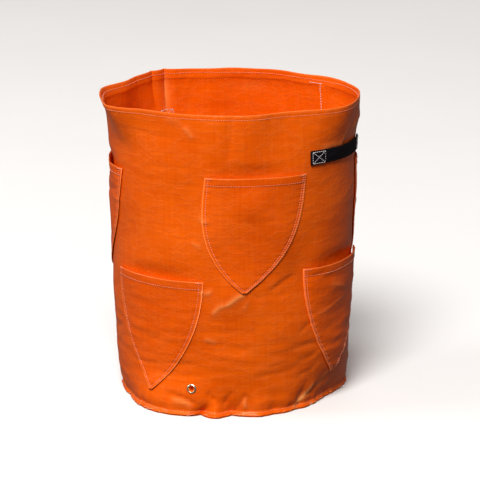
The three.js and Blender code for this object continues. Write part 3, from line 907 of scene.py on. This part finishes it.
def make_eyelet(side):
    """A pressed ring: its section, a thin plate rolled up round the hole on both faces of the
    cloth, is carried round the axis."""
    section = np.array([
        (4.5, 0.0), (4.5, 1.2), (4.62, 1.75), (4.95, 2.1), (5.4, 2.2), (5.95, 2.05), (6.5, 1.75),
        (7.0, 1.35), (7.25, 1.02), (7.2, 0.82), (6.9, 0.85), (6.0, 1.1), (5.3, 1.0), (5.3, 0.0),
        (5.3, -1.0), (6.0, -1.1), (6.9, -0.9), (7.2, -0.85), (7.25, -1.02), (6.9, -1.4),
        (6.2, -1.75), (5.4, -1.85), (4.9, -1.8), (4.6, -1.5), (4.5, -1.0),
    ])
    middle, axis, first, second = eyelet_frame(EYELETS[side])
    steps = 64
    turn = np.arange(steps) * 2 * math.pi / steps
    spoke = first[None] * np.cos(turn)[:, None] + second[None] * np.sin(turn)[:, None]
    points = middle + (
        spoke[:, None, :] * section[None, :, :1] + axis[None, None, :] * section[None, :, 1:]
    ) * MM
    quads = grid_quads(steps, len(section), True, True)[0]
    made = mesh_object("eyelet_ring_" + side, points, quads)
    dress(made, BRASS, "eyelet_metal", "eyelet_" + side)


make_wall()
make_base()
for name in POCKETS:
    make_pocket(name)
for name in STRAPS:
    make_strap(name)
for side in EYELETS:
    make_eyelet(side)


# Thread

FULL_TURN = np.linspace(0, 360, 721)
TACK = {"pitch": 2.6, "gap": 0.3, "rise": 0.5, "radius": 0.5}
STRAP_STITCH = {"pitch": 3.2, "gap": 0.5, "rise": 0.5, "radius": 0.5}


def outside(lift):
    """A function that gives points so many mm off the wall's outer face."""
    return lambda bearing, height, out: on_cloth(bearing, height, out + lift)


def inside(depth):
    """A function that gives points so many mm behind the wall's outer face, where out grows towards
    the bag's axis."""
    return lambda bearing, height, out: on_cloth(bearing, height, -depth - out)


rim_line = np.full_like(FULL_TURN, BAG_HEIGHT - HEM_STITCH)
foot_line = np.full_like(FULL_TURN, SEAM_HEIGHT - 0.4)
joined(
    "rim_stitching",
    [sew(outside(-0.3), FULL_TURN, rim_line), sew(inside(2 * CLOTH), FULL_TURN, rim_line)],
    THREAD,
    "bag_cloth",
)
joined("foot_stitching", [sew(outside(0.4), FULL_TURN, foot_line, 4.2)], THREAD, "bag_cloth")
seam_up = np.linspace(BAG_HEIGHT - HEM_HEIGHT + 4, 12, 60)
seam_at = np.full_like(seam_up, BACK_SEAM + 0.9)
tack_at = np.linspace(BACK_SEAM - 0.5, BACK_SEAM + 7.7, 9)
tack_up = np.full_like(tack_at, BAG_HEIGHT - 11.5)
joined(
    "back_seam_stitching",
    [
        sew(inside(CLOTH + SEAM_STRIP_THICKNESS), seam_at, seam_up, 4.0, 0.7, 0.45, 0.5),
        sew(outside(0.25), seam_at, seam_up, 4.0),
        sew(inside(2 * CLOTH), tack_at, tack_up, 3.4, 0.6, 0.5, 0.5),
    ],
    WHITE_THREAD,
    "bag_cloth",
)

pocket_rows = []
for name, (_, _, tall, _, _, _, flare, *counts) in POCKETS.items():
    place = pocket_place(name)
    surface = lambda a, d, o, place=place: place(a, d, o + CLOTH)
    down = np.linspace(0.0, 0.985, 120)
    half = pocket_half_angle(down, flare) * MM_PER_DEGREE
    for sign, count in zip((-1, 1), counts):
        for inset in POCKET_STITCHES[:count]:
            line = sign * np.clip(1 - inset / half, 0.02, 1)
            pocket_rows.append(sew(surface, line, down))
        tack = np.linspace(1 - 12 / half[0], 1 - 1.5 / half[0], 6) * sign
        pocket_rows.append(sew(surface, tack, np.full_like(tack, 0.012), **TACK))
    hem_line = np.linspace(-1, 1, 120) * (1 - 2 / half[0])
    hem_down = np.full_like(hem_line, (POCKET_HEM - 1.5) / (tall * POCKET_HEIGHT))
    pocket_rows.append(sew(surface, hem_line, hem_down))
half_way = len(pocket_rows) // 2
joined("pocket_stitching_upper", pocket_rows[:half_way], THREAD, "pocket_cloth")
joined("pocket_stitching_lower", pocket_rows[half_way:], THREAD, "pocket_cloth")

strap_rows = []
for name, start in STRAPS.items():
    place = strap_place(name)
    surface = lambda a, d, o, place=place: place(a, d, o + STRAP_THICKNESS)
    margin, box = 0.035, STRAP_BOX / STRAP_LENGTH * 2
    for sign in (-1, 1):
        far, near = sign * (1 - margin), sign * (1 - margin - box)
        corners = [(far, 0.1), (near, 0.1), (near, 0.9), (far, 0.9), (far, 0.1)]
        corners += [(near, 0.9), (near, 0.1), (far, 0.9)]
        legs = [
            (np.linspace(a0, a1, 12), np.linspace(d0, d1, 12))
            for (a0, d0), (a1, d1) in zip(corners, corners[1:])
        ]
        strap_rows += [sew(surface, across, down, **STRAP_STITCH) for across, down in legs]
        for across, down in legs:
            bearing = start + STRAP_LENGTH / MM_PER_DEGREE * (across + 1) / 2
            sag = STRAP_SAG * (across + 1) ** 2 / 4
            height = STRAP_MIDDLE - sag + STRAP_WIDTH * (0.5 - down)
            strap_rows.append(sew(inside(CLOTH), bearing, height, **STRAP_STITCH))
joined("strap_stitching", strap_rows, WHITE_THREAD, "webbing")


def frayed_threads():
    """Loose ends of thread at the foot: short tapering strands that curl away from the edge."""
    rng = np.random.default_rng(77)
    places = ((-72, -36, 16), (44, 58, 8), (60, 300, 26), (-30, 40, 8))
    start = np.concatenate([rng.uniform(*place) for place in places])[:, None]
    each = start.shape
    t = np.linspace(0, 1, 8)[None, :]
    length = rng.uniform(4, 13, each)
    drift, curl = rng.normal(0, 1.6, each), rng.normal(0, 0.5, each)
    turn = start + drift * t + curl * t**2
    reach = SEAM_REACH - 1.5 + length * t * rng.uniform(0.25, 0.7, each)
    height = 3.6 - 2.6 * t + rng.uniform(-0.4, 2.5, each) * np.sin(t * 3)
    middle = on_cloth(turn, np.clip(height, 0.5, 9), reach)
    ahead = np.gradient(middle, axis=1)
    ahead /= np.linalg.norm(ahead, axis=-1, keepdims=True)
    aside = np.cross(ahead, np.array([0.1, 0.2, 1.0]))
    aside /= np.linalg.norm(aside, axis=-1, keepdims=True)
    return tubes(middle, aside, np.cross(aside, ahead), 0.34 * (1 - 0.6 * t) * MM, 5)


joined("frayed_threads", [frayed_threads()], FRAYED, "bag_cloth")


# Floor, light and camera

floor_mesh = bpy.data.meshes.new("floor")
floor_mesh.from_pydata([(-30, -30, 0), (30, -30, 0), (30, 30, 0), (-30, 30, 0)], [], [(0, 1, 2, 3)])
floor = bpy.data.objects.new("floor", floor_mesh)
bpy.context.collection.objects.link(floor)
ground = Cloth("floor")
grain = ground.noise(ground.node("TexCoord", output=3), 3.0, 6.0)
ground.feed(
    Base_Color=ground.mix(grain, (0.93, 0.93, 0.935, 1), (0.95, 0.95, 0.955, 1)),
    Roughness=(0.75 + grain * 0.2).clamp(),
)
floor.data.materials.append(ground.material)
floor.visible_diffuse = False
floor.visible_glossy = False

world = bpy.data.worlds.new("studio")
bpy.context.scene.world = world
world.use_nodes = True
background = world.node_tree.nodes["Background"]
background.inputs["Color"].default_value = (1.0, 0.88, 0.8, 1)
background.inputs["Strength"].default_value = 0.14


LAMPS_AIM = np.array([0, 0, 0.22])


def lamp(name, bearing, elevation, distance, energy, size, colour=(1, 1, 1)):
    """A round soft lamp at a bearing from the front and an elevation, aimed at the middle of the
    bag. Distance and size, which is the lamp's width, are in metres."""
    data = bpy.data.lights.new(name, "AREA")
    data.energy, data.color = energy, colour
    data.shape, data.size = "DISK", size
    turn, rise = math.radians(bearing), math.radians(elevation)
    level = math.cos(rise)
    way = np.array([math.sin(turn) * level, -math.cos(turn) * level, math.sin(rise)])
    made = bpy.data.objects.new(name, data)
    made.location = LAMPS_AIM + way * distance
    made.rotation_euler = (math.pi / 2 - rise, 0, turn)
    bpy.context.collection.objects.link(made)


lamp("key", -12, 50, 14.0, 2330, 6.3, (1.0, 0.98, 0.95))
lamp("left fill", -85, 30, 4.0, 50, 2.0)
lamp("back", 170, 60, 5.0, 18, 2.5)

camera_data = bpy.data.cameras.new("camera")
camera_data.lens = CAMERA_LENS
camera_data.sensor_width = 36
camera = bpy.data.objects.new("camera", camera_data)
camera.location = CAMERA_AT
camera.rotation_euler = (math.radians(90 - CAMERA_DOWN), 0, 0)
bpy.context.collection.objects.link(camera)
bpy.context.scene.camera = camera
bpy.context.scene.view_settings.view_transform = "Standard"
